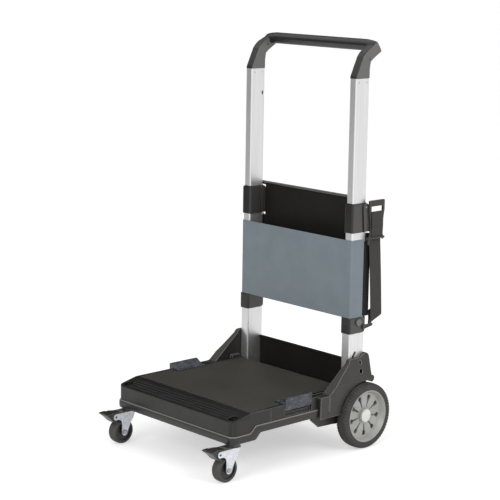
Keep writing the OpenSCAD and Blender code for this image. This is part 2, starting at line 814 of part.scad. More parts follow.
module sheet_body(grow, up) {
    front = front_y + band_l + 6 - grow;
    x_wide = deck_x - rim_w + grow;
    x_neck = neck_x - rim_w + grow;
    latch_in = latch_x - 31 + grow;
    rear = deck_rear_y - 6 + grow;
    translate([0, 0, deck_z - sheet_t]) linear_extrude(sheet_t + up) polygon(concat(
        [for (s = [-1, 1], p = s < 0
            ? [[latch_in, latch_y0 + latch_l + 7], [x_wide, latch_y0 + latch_l + 7],
               [x_wide, wide_rear_y - rim_w], [x_neck, wide_rear_y - rim_w], [x_neck, rear]]
            : [[-x_neck, rear], [-x_neck, wide_rear_y - rim_w], [-x_wide, wide_rear_y - rim_w],
               [-x_wide, latch_y0 + latch_l + 7], [-latch_in, latch_y0 + latch_l + 7]]) p],
        [[-latch_in, latch_y0 - 7], [-x_wide, latch_y0 - 7], [-x_wide, front]],
        [[x_wide, front], [x_wide, latch_y0 - 7], [latch_in, latch_y0 - 7]]
    ));
}

module deck_sheet() {
    color([0.24, 0.23, 0.2]) sheet_body(0, 0);
}

// Bumper lip round the lower edge, stepped up behind the casters
module platform_lip() {
    module lip_side() {
        polygon([
            [front_y - lip_t - past, corner_z0], [front_y - lip_t - past, corner_z0 + lip_h],
            [front_y + corner_l - 19, corner_z0 + lip_h], [front_y + corner_l + step_l - 15, side_z0 + lip_h],
            [wide_rear_y, side_z0 + lip_h], [wide_rear_y, side_z0],
            [front_y + corner_l + step_l, side_z0], [front_y + corner_l, corner_z0]
        ]);
    }
    color([0.17, 0.17, 0.16]) intersection() {
        across(-deck_x - lip_t - past, deck_x + lip_t + past) lip_side();
        translate([0, 0, corner_z0]) linear_extrude(deck_z) difference() {
            polygon(concat(
                arc(corner_r - deck_x - lip_t, front_y - lip_t + corner_r, corner_r, 180, 270, 6),
                arc(deck_x + lip_t - corner_r, front_y - lip_t + corner_r, corner_r, 270, 360, 6),
                [[deck_x + lip_t, wide_rear_y], [-deck_x - lip_t, wide_rear_y]]
            ));
            polygon(concat(
                arc(corner_r - deck_x - seat, front_y - seat + corner_r, corner_r, 180, 270, 6),
                arc(deck_x + seat - corner_r, front_y - seat + corner_r, corner_r, 270, 360, 6),
                [[deck_x + seat, wide_rear_y + past], [-deck_x - seat, wide_rear_y + past]]
            ));
        }
    }
}

module hinge_pin() {
    color("gray") translate([0, hinge_y, hinge_z]) x_rod(hinge_r, neck_x - 10, plate_x + plate_t + 8);
}

// Flap with a gripping fringe; it lies on the deck's edge and swings outwards
module latch() {
    fringe_z = deck_z + moving;
    face_x = latch_x + 10;
    color("slategray") difference() {
        translate([0, latch_y0 + latch_l, 0]) rotate([90, 0, 0]) linear_extrude(latch_l) {
            translate([latch_x, latch_z]) circle(r = 6.5);
            polygon([
                [latch_x - 6, latch_z], [latch_x + 6.3, latch_z], [face_x, latch_z + 9],
                [face_x + 1, latch_top_z - 3], [face_x - 1, latch_top_z], [face_x - 7, latch_top_z],
                [latch_x - 17, fringe_z + 4], [latch_x - 29, fringe_z + 2.4],
                [latch_x - 29, fringe_z], [latch_x - 9, fringe_z]
            ]);
        }
        translate([latch_x, 0, latch_z]) y_rod(latch_pin_r + running, latch_y0 - past, latch_y0 + latch_l + past);
        // Serration of the fringe
        for (i = [0:9]) slab(latch_x - 30, latch_x - 24, latch_y0 + 6 + i * 9, latch_y0 + 9 + i * 9,
            deck_z, deck_z + 5);
    }
}

module latch_pin() {
    color("silver") translate([latch_x, 0, latch_z])
        y_rod(latch_pin_r, latch_y0 - pocket_play - pocket_wall, latch_y0 + latch_l + pocket_play + pocket_wall);
}

// ---------------------------------------------------------------- rear wheel

module rear_wheel_at() {
    translate([wheel_x_in, axle_y, axle_z]) rotate([90, 0, 90]) children();
}

shoulder = 7;
rim_r = rim_d / 2;
hub_r = 20;
petal_r = rim_r - 14;
hub_top = wheel_w - 9;
hub_recess = hub_top - 9;
bush_r = axle_r + 3;
wheel_bush_l = 8;
web_t = 5;
web_in = 15;

module wheel_tyre() {
    color([0.25, 0.24, 0.23]) rear_wheel_at() rotate_extrude($fn = 96) polygon(concat(
        [[rim_r + seat, 0.5]],
        arc(wheel_r - shoulder, shoulder, shoulder, -90, 0, 4),
        arc(wheel_r - shoulder, wheel_w - shoulder, shoulder, 0, 90, 4),
        [[rim_r + seat, wheel_w - 0.5]]
    ));
}

// Dished: the petals lie well inside the lip that holds the tyre
module wheel_rim() {
    web_z = wheel_w - web_in;
    color("silver") rear_wheel_at() difference() {
        union() {
            rotate_extrude($fn = 96) polygon([
                [rim_r, 1], [rim_r, wheel_w - 1], [rim_r - 2.5, wheel_w - 1], [rim_r - 9, web_z],
                [hub_r - 1, web_z], [hub_r - 1, web_z - web_t], [rim_r - 10, web_z - web_t],
                [rim_r - 5, web_z - web_t - 4], [rim_r - 5, 2]
            ]);
            cylinder(r = hub_r, h = hub_top);
        }
        translate([0, 0, -past]) cylinder(r = bush_r + seat, h = wheel_w + 2 * past);
        for (i = [0:rim_slots - 1]) rotate([0, 0, i * 360 / rim_slots + 31])
            translate([0, 0, web_z - web_t - past]) linear_extrude(web_t + 2 * past)
                polygon([
                    [hub_r + 3, -1.3], [petal_r - 14, -3], [petal_r - 10, -6], [petal_r - 2, -6.5],
                    [petal_r, 0],
                    [petal_r - 2, 6.5], [petal_r - 10, 6], [petal_r - 14, 3], [hub_r + 3, 1.3]
                ]);
        translate([0, 0, hub_recess]) cylinder(r = axle_r + 5.5, h = 20);
    }
}

module wheel_bushes() {
    color("dimgray") rear_wheel_at() for (z = [0.6, hub_recess - wheel_bush_l])
        translate([0, 0, z]) difference() {
            cylinder(r = bush_r, h = wheel_bush_l);
            translate([0, 0, -past]) cylinder(r = axle_r + running, h = 12 + past);
        }
}

module hub_cap() {
    color("gainsboro") rear_wheel_at() difference() {
        union() {
            translate([0, 0, hub_top]) cylinder(r = hub_r - 3, h = 2);
            translate([0, 0, hub_top + 2]) cylinder(r1 = hub_r - 4, r2 = hub_r - 8, h = 1);
            translate([0, 0, hub_top - 5]) difference() {
                cylinder(r = axle_r + 5.4, h = 5);
                translate([0, 0, -past]) cylinder(r = axle_r + 4.3, h = 5 + 2 * past);
            }
        }
        translate([0, 0, hub_recess]) cylinder(r = axle_r + 4.3, h = 9.2);
    }
}

// ---------------------------------------------------------------- casters

module caster_at() {
    translate([caster_x, caster_y, 0]) children();
}

// Kingpin with the round plate that carries the caster
module caster_stem() {
    pin_r = kingpin_d / 2;
    color([0.12, 0.12, 0.12]) caster_at() {
        translate([0, 0, flange_z]) cylinder(r = socket_r, h = corner_z0 - flange_z);
        translate([0, 0, fork_top_z - fork_t - 3.6]) cylinder(r = pin_r, h = corner_z0 + 50 - fork_top_z + fork_t + 3.6);
        translate([0, 0, fork_top_z - fork_t - 6.6]) cylinder(r = pin_r + 3, h = 3);
        translate([0, 0, corner_z0 + 46 + seat]) cylinder(r = 9, h = 5, $fn = 6);
    }
}

module caster_fork() {
    color("silver") caster_at() difference() {
        union() {
            translate([0, 0, fork_top_z - fork_t]) cylinder(r = 21, h = fork_t);
            slab(-fork_x - fork_t, fork_x + fork_t, -36, 9, fork_top_z - fork_t, fork_top_z);
            for (x = [-fork_x - fork_t, fork_x]) across(x, x + fork_t) {
                polygon([
                    [9, fork_top_z], [pedal_pivot[0], fork_top_z], [pedal_pivot[0], fork_skirt_z],
                    [pedal_pivot[0] + 12, fork_skirt_z - 2], [pedal_pivot[0] + 19, fork_skirt_z - 7],
                    [-caster_trail - fork_eye_r, fork_skirt_z - 16], [-caster_trail - fork_eye_r, caster_r],
                    [-caster_trail + fork_eye_r, caster_r],
                    [-caster_trail + 20, fork_skirt_z - 15], [-caster_trail + 29, fork_skirt_z - 3]
                ]);
                translate([-caster_trail, caster_r]) circle(r = fork_eye_r);
                translate(pedal_pivot) circle(r = 8.2);
            }
        }
        translate([0, 0, fork_top_z - fork_t - past]) cylinder(r = kingpin_d / 2 + running, h = 3 * fork_t);
        translate([0, -caster_trail, caster_r]) x_rod(caster_bolt_d / 2 + seat, -30, 30);
        translate([0, pedal_pivot[0], pedal_pivot[1]]) x_rod(pedal_pin_r + running, -30, 30);
    }
}

module caster_wheel_at() {
    caster_at() translate([0, -caster_trail, caster_r]) children();
}

caster_core_r = caster_r - 9;
module caster_tyre() {
    crown = 6;
    color([0.3, 0.3, 0.29]) caster_wheel_at() rotate([0, 90, 0]) translate([0, 0, -caster_w / 2])
        rotate_extrude($fn = 72) polygon(concat(
            [[caster_core_r + seat, 0.5]],
            arc(caster_r - crown, crown, crown, -90, 0, 4),
            arc(caster_r - crown, caster_w - crown, crown, 0, 90, 4),
            [[caster_core_r + seat, caster_w - 0.5]]
        ));
}

module caster_hub() {
    color([0.1, 0.1, 0.1]) caster_wheel_at() difference() {
        union() {
            x_rod(caster_core_r, -caster_w / 2 + 4, caster_w / 2 - 4);
            x_rod(8, -caster_w / 2 - 1, caster_w / 2 + 1);
        }
        x_rod(caster_bolt_d / 2 + running, -caster_w, caster_w);
    }
}

module caster_bolt() {
    end = fork_x + fork_t;
    color("silver") caster_wheel_at() {
        x_rod(caster_bolt_d / 2, -end - 1, end);
        x_rod(5, end, end + 2.6);
        x_rod(5, -end - 3.6, -end, $fn = 6);
    }
}

// Foot pedal on its own pin; its shoe ends just over the tyre
module brake_pedal() {
    width = fork_x - 0.5;
    color([0.1, 0.1, 0.1]) caster_at() {
        across(-width, width) polygon(concat(
            [[pedal_tip, pedal_z], [pedal_tip, pedal_z - 3]],
            [pedal_pivot + [-15, -4], pedal_pivot + [-5, -14]],
            arc(-caster_trail, caster_r, caster_r + shoe_gap, 133.4, 127.3, 1),
            [pedal_pivot + [9, -4], [pedal_pivot[0] + 19, pedal_z - 8]],
            [[pedal_pivot[0] + 21, pedal_z - 2], [pedal_pivot[0] - 3, pedal_z + 1]]
        ));
        across(-19, 19) polygon([
            [pedal_tip, pedal_z], [pedal_tip, pedal_z - 3], pedal_pivot + [-19, 1],
            pedal_pivot + [-12, 2], [pedal_pivot[0] - 12, pedal_z + 1]
        ]);
        translate([0, pedal_pivot[0], pedal_pivot[1]])
            x_rod(pedal_pin_r, -fork_x - fork_t - 0.5, fork_x + fork_t + 0.5);
    }
}

// ---------------------------------------------------------------- nodes

module shown(name) {
    placed() children();
}

module pair(name) {
    shown(str("left_", name)) on_side(-1) children();
    shown(str("right_", name)) on_side(1) children();
}

pair("lower_tube") difference() {
    lower_tube();
    screw_holes();
}
pair("middle_tube") middle_tube();
pair("side_bracket") side_bracket();
shown("rear_axle") rear_axle();
shown("axle_beam") axle_beam();
shown("axle_retainers") on_both_sides() axle_retainer();
shown("lower_back_panel") lower_back_panel();
shown("upper_back_panel") upper_back_panel();
shown("upper_panel_rail") upper_panel_rail();
shown("front_cover") front_cover();
pair("upper_collar") upper_collar();
pair("lower_collar") lower_collar();
shown("rear_bumpers") on_both_sides() rear_bumper();
shown("strap") strap();
shown("strap_buckle") strap_buckle();
shown("strap_hook") strap_hook();
shown("frame_screws") frame_screws();
shown("guide_bushes") on_both_sides() guide_bush();
shown("platform_hinge_pins") on_both_sides() hinge_pin();
shown("platform_tray") platform_tray();
shown("deck_sheet") deck_sheet();
shown("platform_lip") platform_lip();
pair("caster_stem") caster_stem();
shown("latch_pins") on_both_sides() latch_pin();
pair("latch") latch();
pair("upper_tube") upper_tube();
shown("handle_grip") handle_grip();
shown("handle_rivets") handle_rivets();
shown("tube_end_plugs") on_both_sides() tube_end_plug();
pair("clamp_lever") clamp_lever();
shown("lever_pins") on_both_sides() lever_pin();
pair("release_button") release_button();
pair("wheel_tyre") wheel_tyre();
pair("wheel_rim") wheel_rim();
pair("wheel_bushes") wheel_bushes();
pair("hub_cap") hub_cap();
pair("caster_fork") caster_fork();
pair("caster_tyre") caster_tyre();
pair("caster_hub") caster_hub();
pair("caster_bolt") caster_bolt();
pair("brake_pedal") brake_pedal();
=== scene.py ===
import json
import math

import bpy
import bmesh
from mathutils import Matrix, Vector


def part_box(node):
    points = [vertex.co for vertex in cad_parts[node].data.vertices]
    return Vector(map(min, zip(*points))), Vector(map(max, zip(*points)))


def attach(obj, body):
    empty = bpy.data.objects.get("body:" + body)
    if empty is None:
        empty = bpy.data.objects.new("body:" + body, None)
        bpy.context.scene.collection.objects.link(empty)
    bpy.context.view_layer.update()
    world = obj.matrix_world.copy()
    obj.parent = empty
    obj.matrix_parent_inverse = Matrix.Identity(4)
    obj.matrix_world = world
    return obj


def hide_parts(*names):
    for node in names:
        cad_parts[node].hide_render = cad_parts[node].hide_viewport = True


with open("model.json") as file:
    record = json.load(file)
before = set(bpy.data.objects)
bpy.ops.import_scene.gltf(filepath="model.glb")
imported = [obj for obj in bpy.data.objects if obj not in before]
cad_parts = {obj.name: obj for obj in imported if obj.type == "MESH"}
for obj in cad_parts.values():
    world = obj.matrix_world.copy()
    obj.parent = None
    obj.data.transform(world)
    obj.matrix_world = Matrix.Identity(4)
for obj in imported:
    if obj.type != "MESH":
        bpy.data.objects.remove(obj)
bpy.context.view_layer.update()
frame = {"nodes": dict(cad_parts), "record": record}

nodes = frame["nodes"]
scene = bpy.context.scene

MM = 0.001
LEFT, RIGHT = -1, 1


def box_mm(name):
    """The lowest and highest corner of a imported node, in millimetres."""
    return [corner * 1000 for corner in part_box(name)]


# ---------------------------------------------------------------- camera

AZIMUTH, ELEVATION, ROLL = math.radians(47.1), math.radians(10.9), math.radians(0.9)
DISTANCE = 4.286
LENS = 115.3
LOOK_AT = Vector((0.0, 0.0189, 0.5321))


def make_camera():
    """The main view: a long lens, level but for a slight roll."""
    back = Vector((
        math.sin(AZIMUTH) * math.cos(ELEVATION),
        -math.cos(AZIMUTH) * math.cos(ELEVATION),
        math.sin(ELEVATION),
    ))
    level = Vector((math.cos(AZIMUTH), math.sin(AZIMUTH), 0))
    upright = back.cross(level)
    right = level * math.cos(ROLL) + upright * math.sin(ROLL)
    up = upright * math.cos(ROLL) - level * math.sin(ROLL)
    data = bpy.data.cameras.new("camera")
    data.sensor_width = 36
    data.lens = LENS
    data.clip_end = 100
    camera = bpy.data.objects.new("camera", data)
    camera.matrix_world = Matrix((
        (right.x, up.x, back.x, 0), (right.y, up.y, back.y, 0), (right.z, up.z, back.z, 0), (0, 0, 0, 1)
    ))
    camera.location = LOOK_AT + back * DISTANCE
    scene.collection.objects.link(camera)
    scene.camera = camera


make_camera()


# ---------------------------------------------------------------- shading

def colour(red, green, blue):
    """A display colour, 0 to 255, as the linear colour the sockets take."""
    linear = []
    for part in (red, green, blue):
        share = part / 255
        linear.append(share / 12.92 if share <= 0.04045 else ((share + 0.055) / 1.055) ** 2.4)
    return (*linear, 1.0)


class Value:
    """A node's output; arithmetic on it adds Math nodes to the same tree."""

    def __init__(self, owner, socket):
        self.owner = owner
        self.socket = socket

    def maths(self, operation, first, second):
        return self.owner.node("ShaderNodeMath", {"operation": operation}, {0: first, 1: second})

    def __add__(self, other):
        return self.maths("ADD", self, other)

    def __radd__(self, other):
        return self.maths("ADD", other, self)

    def __sub__(self, other):
        return self.maths("SUBTRACT", self, other)

    def __rsub__(self, other):
        return self.maths("SUBTRACT", other, self)

    def __mul__(self, other):
        return self.maths("MULTIPLY", self, other)

    def __rmul__(self, other):
        return self.maths("MULTIPLY", other, self)

    def above(self, level):
        return self.maths("GREATER_THAN", self, level)

    def either(self, other):
        return self.maths("MAXIMUM", self, other)


class Shading:
    """A tree of nodes and the one method that adds to it."""

    def __init__(self, tree):
        self.tree = tree

    def feed(self, socket, value):
        """Links a Value to a socket, or writes anything else on it."""
        if isinstance(value, Value):
            self.tree.links.new(value.socket, socket)
        else:
            socket.default_value = value

    def node(self, kind, settings=None, inputs=None, out=0):
        """Any node: its type, its settings, what goes into its sockets and which output is wanted."""
        made = self.tree.nodes.new(kind)
        for name, value in (settings or {}).items():
            setattr(made, name, value)
        for name, value in (inputs or {}).items():
            self.feed(made.inputs[name], value)
        return Value(self, made.outputs[out])

    def spread(self, value, low, high, to_low=0.0, to_high=1.0):
        """The value's run from low to high, laid out from to_low to to_high and held there."""
        return self.node("ShaderNodeMapRange", {"clamp": True}, {
            "Value": value, "From Min": low, "From Max": high, "To Min": to_low, "To Max": to_high
        })

    def seen(self):
        """1 where a surface is looked at, in a mirror too, and 0 where it only gives light."""
        kinds = ("Camera", "Glossy", "Transmission")
        camera, glossy, glass = (self.node("ShaderNodeLightPath", out=f"Is {kind} Ray") for kind in kinds)
        return camera.either(glossy).either(glass)


class Finish(Shading):
    """One material: a Principled shader with helpers for grain, corner masks for painted highlights, and
    bump.
    """

    def __init__(self, name, **fixed):
        self.material = bpy.data.materials.new(name)
        self.material.use_nodes = True
        super().__init__(self.material.node_tree)
        self.shader = self.tree.nodes["Principled BSDF"]
        for socket, value in fixed.items():
            self.feed(self.shader.inputs[socket.replace("_", " ")], value)
        self.place = self.node("ShaderNodeTexCoord", out="Object")

    def noise(self, scale, detail=3.0, stretch=(1, 1, 1), rough=0.55):
        place = self.node("ShaderNodeMapping", None, {"Vector": self.place, "Scale": stretch})
        return self.node("ShaderNodeTexNoise", None, {
            "Vector": place, "Scale": scale, "Detail": detail, "Roughness": rough
        })

    def cells(self, scale, out):
        return self.node("ShaderNodeTexVoronoi", None, {"Vector": self.place, "Scale": scale}, out)

    def along(self, axis):
        """Metres along one axis."""
        return self.node("ShaderNodeSeparateXYZ", None, {"Vector": self.place}, axis)

    def facing(self, axis):
        """How far the surface faces along one axis, -1 to 1."""
        direction = self.node("ShaderNodeTexCoord", out="Normal")
        return self.node("ShaderNodeSeparateXYZ", None, {"Vector": direction}, axis)

    def wave(self, value):
        return self.node("ShaderNodeMath", {"operation": "SINE"}, {0: value})

    def tint(self, share, first, second):
        """The first colour where the share is 0, the second where it is 1."""
        return self.node("ShaderNodeMix", {"data_type": "RGBA"}, {0: share, 6: first, 7: second}, 2)

    def eased(self, radius):
        """Surface direction with every corner rounded over a small radius."""
        return self.node("ShaderNodeBevel", {"samples": 6}, {"Radius": radius})

    def edges(self, eased):
        """Near 0 on open faces, rising along the corners."""
        face = self.node("ShaderNodeNewGeometry", out="Normal")
        match = self.node("ShaderNodeVectorMath", {"operation": "DOT_PRODUCT"}, {0: eased, 1: face}, "Value")
        return self.spread(match, 0.99, 0.8)

    def bump(self, height, depth, strength, over=None):
        """Relief from a height, added to another surface direction where one is given."""
        inputs = {"Height": height, "Distance": depth, "Strength": strength}
        if over:
            inputs["Normal"] = over
        return self.node("ShaderNodeBump", None, inputs)

    def paint(self, base, rough, normal):
        self.feed(self.shader.inputs["Base Color"], base)
        self.feed(self.shader.inputs["Roughness"], rough)
        self.feed(self.shader.inputs["Normal"], normal)
        return self.material


def moulded(name, dark, light, rough, grain=900.0, depth=0.00012, shine=0.5, painted_edge_highlight=None, band=None,
            painted_side_light=None, painted_top_highlight=None, corner=0.0012):
    """Moulded plastic: fine spark-eroded grain over faint flow marks.

    Some parts also get painted light: a painted highlight on the corners, painted light on the faces that
    look sideways, a painted highlight on those that look up, and a painted shade, band (rear end, foot,
    tint), on a strip of the top.
    """
    finish = Finish(name, Specular_IOR_Level=shine)
    flow = finish.noise(14, 4)
    fine = finish.noise(grain, 2)
    smudge = finish.noise(45, 5, rough=0.65)
    base = finish.tint(finish.spread(flow, 0.3, 0.7), dark, light)
    # Painted light: faces that look sideways are made lighter, standing in for the side light and reflection
    # on them
    if painted_side_light:
        sideways = finish.facing("X")
        base = finish.tint(finish.spread(sideways * sideways, 0.6, 0.85), base, painted_side_light)
    # Painted highlight: faces that look up are made lighter
    if painted_top_highlight:
        base = finish.tint(finish.spread(finish.facing("Z"), 0.25, 0.6), base, painted_top_highlight)
    eased = finish.eased(corner)
    # Painted highlight: the corners are made paler, broken up by the smudge noise
    if painted_edge_highlight:
        base = finish.tint(finish.edges(eased) * finish.spread(smudge, 0.2, 0.7, 0.5, 1.0), base, painted_edge_highlight)
    # Painted shade: the strip is darkened, standing in for the dark reflection on its glossy slope
    if band:
        rear, foot, shade = band
        inside = finish.along("Z").above(foot) * (rear - finish.along("Y")).above(0.0)
        base = finish.tint(inside * 0.8, base, shade)
    sheen = finish.spread(smudge, 0.3, 0.75, rough - 0.07, rough + 0.07)
    return finish.paint(base, sheen, finish.bump(fine, depth, 0.6, eased))


def anodised(name):
    """Extruded aluminium: die lines along its length under a satin anodised skin."""
    finish = Finish(name, Metallic=0.85, Specular_IOR_Level=0.5)
    lines = finish.noise(900, 2, (1, 1, 0.004))
    cloud = finish.noise(9, 3, (1, 1, 0.4))
    base = finish.tint(finish.spread(lines, 0.3, 0.7), colour(214, 214, 216), colour(228, 227, 226))
    rough = finish.spread(cloud, 0.3, 0.7, 0.34, 0.44)
    return finish.paint(base, rough, finish.bump(lines, 0.00004, 0.5))


def zinc_plate(name):
    """Pressed steel with bright zinc: small crystals and rub marks."""
    finish = Finish(name, Metallic=0.9)
    crystals = finish.cells(420, "Color")
    spots = finish.spread(finish.noise(160, 4), 0.35, 0.7)
    base = finish.tint(spots, colour(196, 201, 208), colour(226, 229, 233))
    rough = finish.spread(finish.noise(300), 0.3, 0.7, 0.26, 0.42)
    return finish.paint(base, rough, finish.bump(crystals, 0.00003, 0.4))


def turned_steel(name, tone=(176, 178, 182)):
    """Machined steel with the tool's fine marks."""
    finish = Finish(name, Metallic=1.0)
    marks = finish.noise(1400, 2)
    base = finish.tint(marks, colour(*[t - 18 for t in tone]), colour(*tone))
    return finish.paint(base, finish.spread(marks, 0.3, 0.7, 0.28, 0.42), finish.bump(marks, 0.00002, 0.5))


def rubber(name, dark, light, rough=0.72, depth=0.0002):
    """Vulcanised rubber: dusty bloom in patches over a fine pitted skin."""
    finish = Finish(name, Specular_IOR_Level=0.35)
    bloom = finish.spread(finish.noise(38, 5, rough=0.7), 0.35, 0.7)
    pits = finish.noise(1100, 2)
    base = finish.tint(bloom, dark, light)
    sheen = finish.spread(bloom, 0, 1, rough - 0.08, rough + 0.06)
    return finish.paint(base, sheen, finish.bump(pits, depth, 0.5))


def ribbed_webbing(name):
    """Woven polyester webbing: ribs across the strap, a twill of small threads along it."""
    finish = Finish(name, Sheen_Weight=0.25, Sheen_Roughness=0.4, Specular_IOR_Level=0.3)
    rib = finish.wave(finish.along("Z") * 3600.0)
    warp = finish.wave(finish.along("Y") * 5200.0)
    fuzz = finish.noise(700, 4)
    thread = rib * 0.5 + warp * 0.3 + fuzz
    base = finish.tint(finish.spread(thread, -0.2, 1.2), colour(32, 30, 28), colour(78, 74, 70))
    return finish.paint(base, finish.spread(fuzz, 0.3, 0.7, 0.7, 0.9), finish.bump(thread, 0.0003, 0.8))


def mottled_latch(name):
    """Blue-grey plastic with a cloudy, scuffed gloss."""
    finish = Finish(name, Specular_IOR_Level=0.5)
    cloud = finish.spread(finish.noise(62, 5, rough=0.7), 0.38, 0.66)
    scuff = finish.spread(finish.noise(240, 4, (1, 0.25, 1)), 0.5, 0.75)
    base = finish.tint(cloud, colour(28, 32, 38), colour(76, 82, 90))
    base = finish.tint(scuff * 0.4, base, colour(150, 156, 164))
    return finish.paint(base, finish.spread(cloud, 0, 1, 0.3, 0.5), finish.bump(scuff, 0.0001, 0.5))


def grained_deck(name):
    """Non-slip sheet: an olive-black skin with a leathery pebble."""
    finish = Finish(name, Specular_IOR_Level=0.4)
    pebble = finish.cells(420, "Distance")
    dust = finish.spread(finish.noise(7, 5, rough=0.6), 0.3, 0.75)
    speck = finish.noise(600, 2)
    base = finish.tint(dust, colour(49, 47, 42), colour(58, 55, 49))
    base = finish.tint(finish.spread(speck, 0.5, 0.75) * 0.3, base, colour(74, 71, 63))
    return finish.paint(base, finish.spread(dust, 0, 1, 0.6, 0.72), finish.bump(pebble, 0.00025, 0.5))


def silver_plastic(name, tone, rough, metal=0.15):
    """Moulded plastic with a metal-flake silver colour, dulled by road dust."""
    finish = Finish(name, Metallic=metal, Specular_IOR_Level=0.5)
    flake = finish.spread(finish.cells(2600, "Color"), 0.2, 0.9)
    dust = finish.spread(finish.noise(28, 5, rough=0.65), 0.35, 0.75)
    base = finish.tint(dust, colour(*tone), colour(*[t - 22 for t in tone]))
    base = finish.tint(flake * 0.2, base, colour(*[min(t + 30, 255) for t in tone]))
    sheen = finish.spread(dust, 0, 1, rough, rough + 0.15)
    return finish.paint(base, sheen, finish.bump(flake, 0.00003, 0.3))


# The ribbed strip along the platform's front edge: its rear end, its foot and its tint, a painted shade that
# stands in for the dark reflection on its glossy slope
GRIP_BAND_PAINTED_SHADE = (-0.184, 0.155, colour(15, 15, 15))
# A pale colour painted along corners as a highlight
PAINTED_EDGE_HIGHLIGHT = colour(150, 149, 145)

FINISHES = {
    "tube_alu": anodised("satin_anodised_tube"),
    # The bracket's corners get a painted highlight
    "bracket": moulded("bracket_plastic", colour(42, 41, 38), colour(51, 49, 45), 0.42, shine=0.45,
                       painted_edge_highlight=colour(190, 189, 185), corner=0.0024),
    "panel": moulded("back_panel_plastic", colour(24, 23, 21), colour(30, 29, 27), 0.6, 700, shine=0.15),
    "rail": turned_steel("panel_rail_steel", (120, 120, 120)),
    "cover": moulded("blue_grey_cover", colour(117, 128, 135), colour(126, 137, 144), 0.55, 1200),
    # The collar's sideways faces get a painted light
    "collar": moulded("collar_plastic", colour(16, 16, 15), colour(24, 23, 22), 0.33, 1000, 0.00008,
                      painted_side_light=colour(66, 65, 64)),
    "rubber": rubber("bumper_rubber", colour(30, 29, 28), colour(46, 44, 42)),
    "webbing": ribbed_webbing("strap_webbing"),
    # The trim's corners get a painted highlight
    "trim": moulded("trim_plastic", colour(34, 33, 31), colour(46, 44, 41), 0.4, 1000, 0.00008,
                    painted_edge_highlight=PAINTED_EDGE_HIGHLIGHT, corner=0.0015),
    "steel": turned_steel("turned_steel"),
    "black_screw": turned_steel("black_screw_steel", (84, 84, 86)),
    # The tray's corners get a painted highlight, and its ribbed strip a painted shade
    "tray": moulded("tray_plastic", colour(24, 23, 21), colour(31, 29, 27), 0.36, shine=0.4,
                    painted_edge_highlight=PAINTED_EDGE_HIGHLIGHT, band=GRIP_BAND_PAINTED_SHADE, corner=0.0022),
    # The lip's upward faces get a painted highlight
    "lip": moulded("lip_plastic", colour(27, 26, 24), colour(34, 32, 30), 0.34,
                   painted_top_highlight=colour(132, 131, 128)),
    "deck": grained_deck("grained_deck_sheet"),
    "latch": mottled_latch("mottled_latch_plastic"),
    # The handle's sideways faces get a painted light
    "handle": moulded("handle_plastic", colour(22, 21, 21), colour(30, 29, 28), 0.36, 1300, 0.0001, 0.6,
                      painted_side_light=colour(98, 97, 96)),
    "button": silver_plastic("release_button_plastic", (116, 116, 114), 0.35),
    "tyre": rubber("tyre_rubber", colour(56, 54, 52), colour(78, 75, 72)),
    "rim": silver_plastic("silver_rim_plastic", (178, 179, 175), 0.4),
    "cap": silver_plastic("hub_cap_plastic", (222, 222, 218), 0.22, 0.7),
    "caster_tyre": rubber("caster_tyre_rubber", colour(66, 64, 63), colour(88, 85, 83)),
    "caster_core": moulded("caster_core_plastic", colour(22, 21, 21), colour(32, 31, 30), 0.4),
    "zinc": zinc_plate("zinc_plated_steel"),
    "beam": moulded("axle_beam_plastic", colour(26, 25, 24), colour(34, 33, 31), 0.55),
}


def dress_nodes():
    """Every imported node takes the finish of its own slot; the frame's screws are blackened."""
    for part in frame["record"]["subparts"]:
        mesh = nodes[part["node"]].data
        mesh.materials.clear()
        mesh.materials.append(FINISHES[part["material_slot"]])
    nodes["frame_screws"].data.materials[0] = FINISHES["black_screw"]


dress_nodes()


def ease_edges(width, *names):
    """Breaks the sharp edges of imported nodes, as a mould leaves them; the width is in millimetres."""
    for name in names:
        node = nodes[name]
        weld = node.modifiers.new("weld", "WELD")
        weld.merge_threshold = 0.02 * MM
        join = node.modifiers.new("join", "DECIMATE")
        join.decimate_type = "DISSOLVE"
        join.angle_limit = math.radians(1.0)
        edge = node.modifiers.new("edge", "BEVEL")
        edge.width = width * MM
        edge.segments = 2
        edge.limit_method = "ANGLE"
        edge.angle_limit = math.radians(32)
        edge.use_clamp_overlap = False
        node.modifiers.new("shading", "WEIGHTED_NORMAL")


ease_edges(0.7, "left_upper_collar", "right_upper_collar", "left_lower_collar", "right_lower_collar",
           "left_latch", "right_latch", "left_clamp_lever", "right_clamp_lever")
ease_edges(0.5, "front_cover")


# ---------------------------------------------------------------- mesh building

SMOOTH_ANGLE = math.radians(35)


def seat_piece(name, mesh, body, slot, stands_for=()):
    """Puts a finished mesh on its body, in its slot's finish."""
    mesh.materials.append(FINISHES[slot])
    piece = bpy.data.objects.new(name, mesh)
    scene.collection.objects.link(piece)
    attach(piece, body)
    if stands_for:
        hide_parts(*stands_for)
    return piece


def raw_mesh(name, corners, faces):
    """A bare mesh from corner points in millimetres."""
    mesh = bpy.data.meshes.new(name)
    mesh.from_pydata([tuple(c * MM for c in corner) for corner in corners], [], faces)
    return mesh


def new_piece(name, corners, faces, body, slot, stands_for=()):
    """A piece from corner points in millimetres, smooth but for its sharp edges."""
    mesh = raw_mesh(name, corners, faces)
    built = bmesh.new()
    built.from_mesh(mesh)
    bmesh.ops.remove_doubles(built, verts=built.verts, dist=1e-7)
    bmesh.ops.recalc_face_normals(built, faces=built.faces)
    for edge in built.edges:
        edge.smooth = len(edge.link_faces) == 2 and edge.calc_face_angle(0) < SMOOTH_ANGLE
    for face in built.faces:
        face.smooth = True
    built.to_mesh(mesh)
    built.free()
    return seat_piece(name, mesh, body, slot, stands_for)


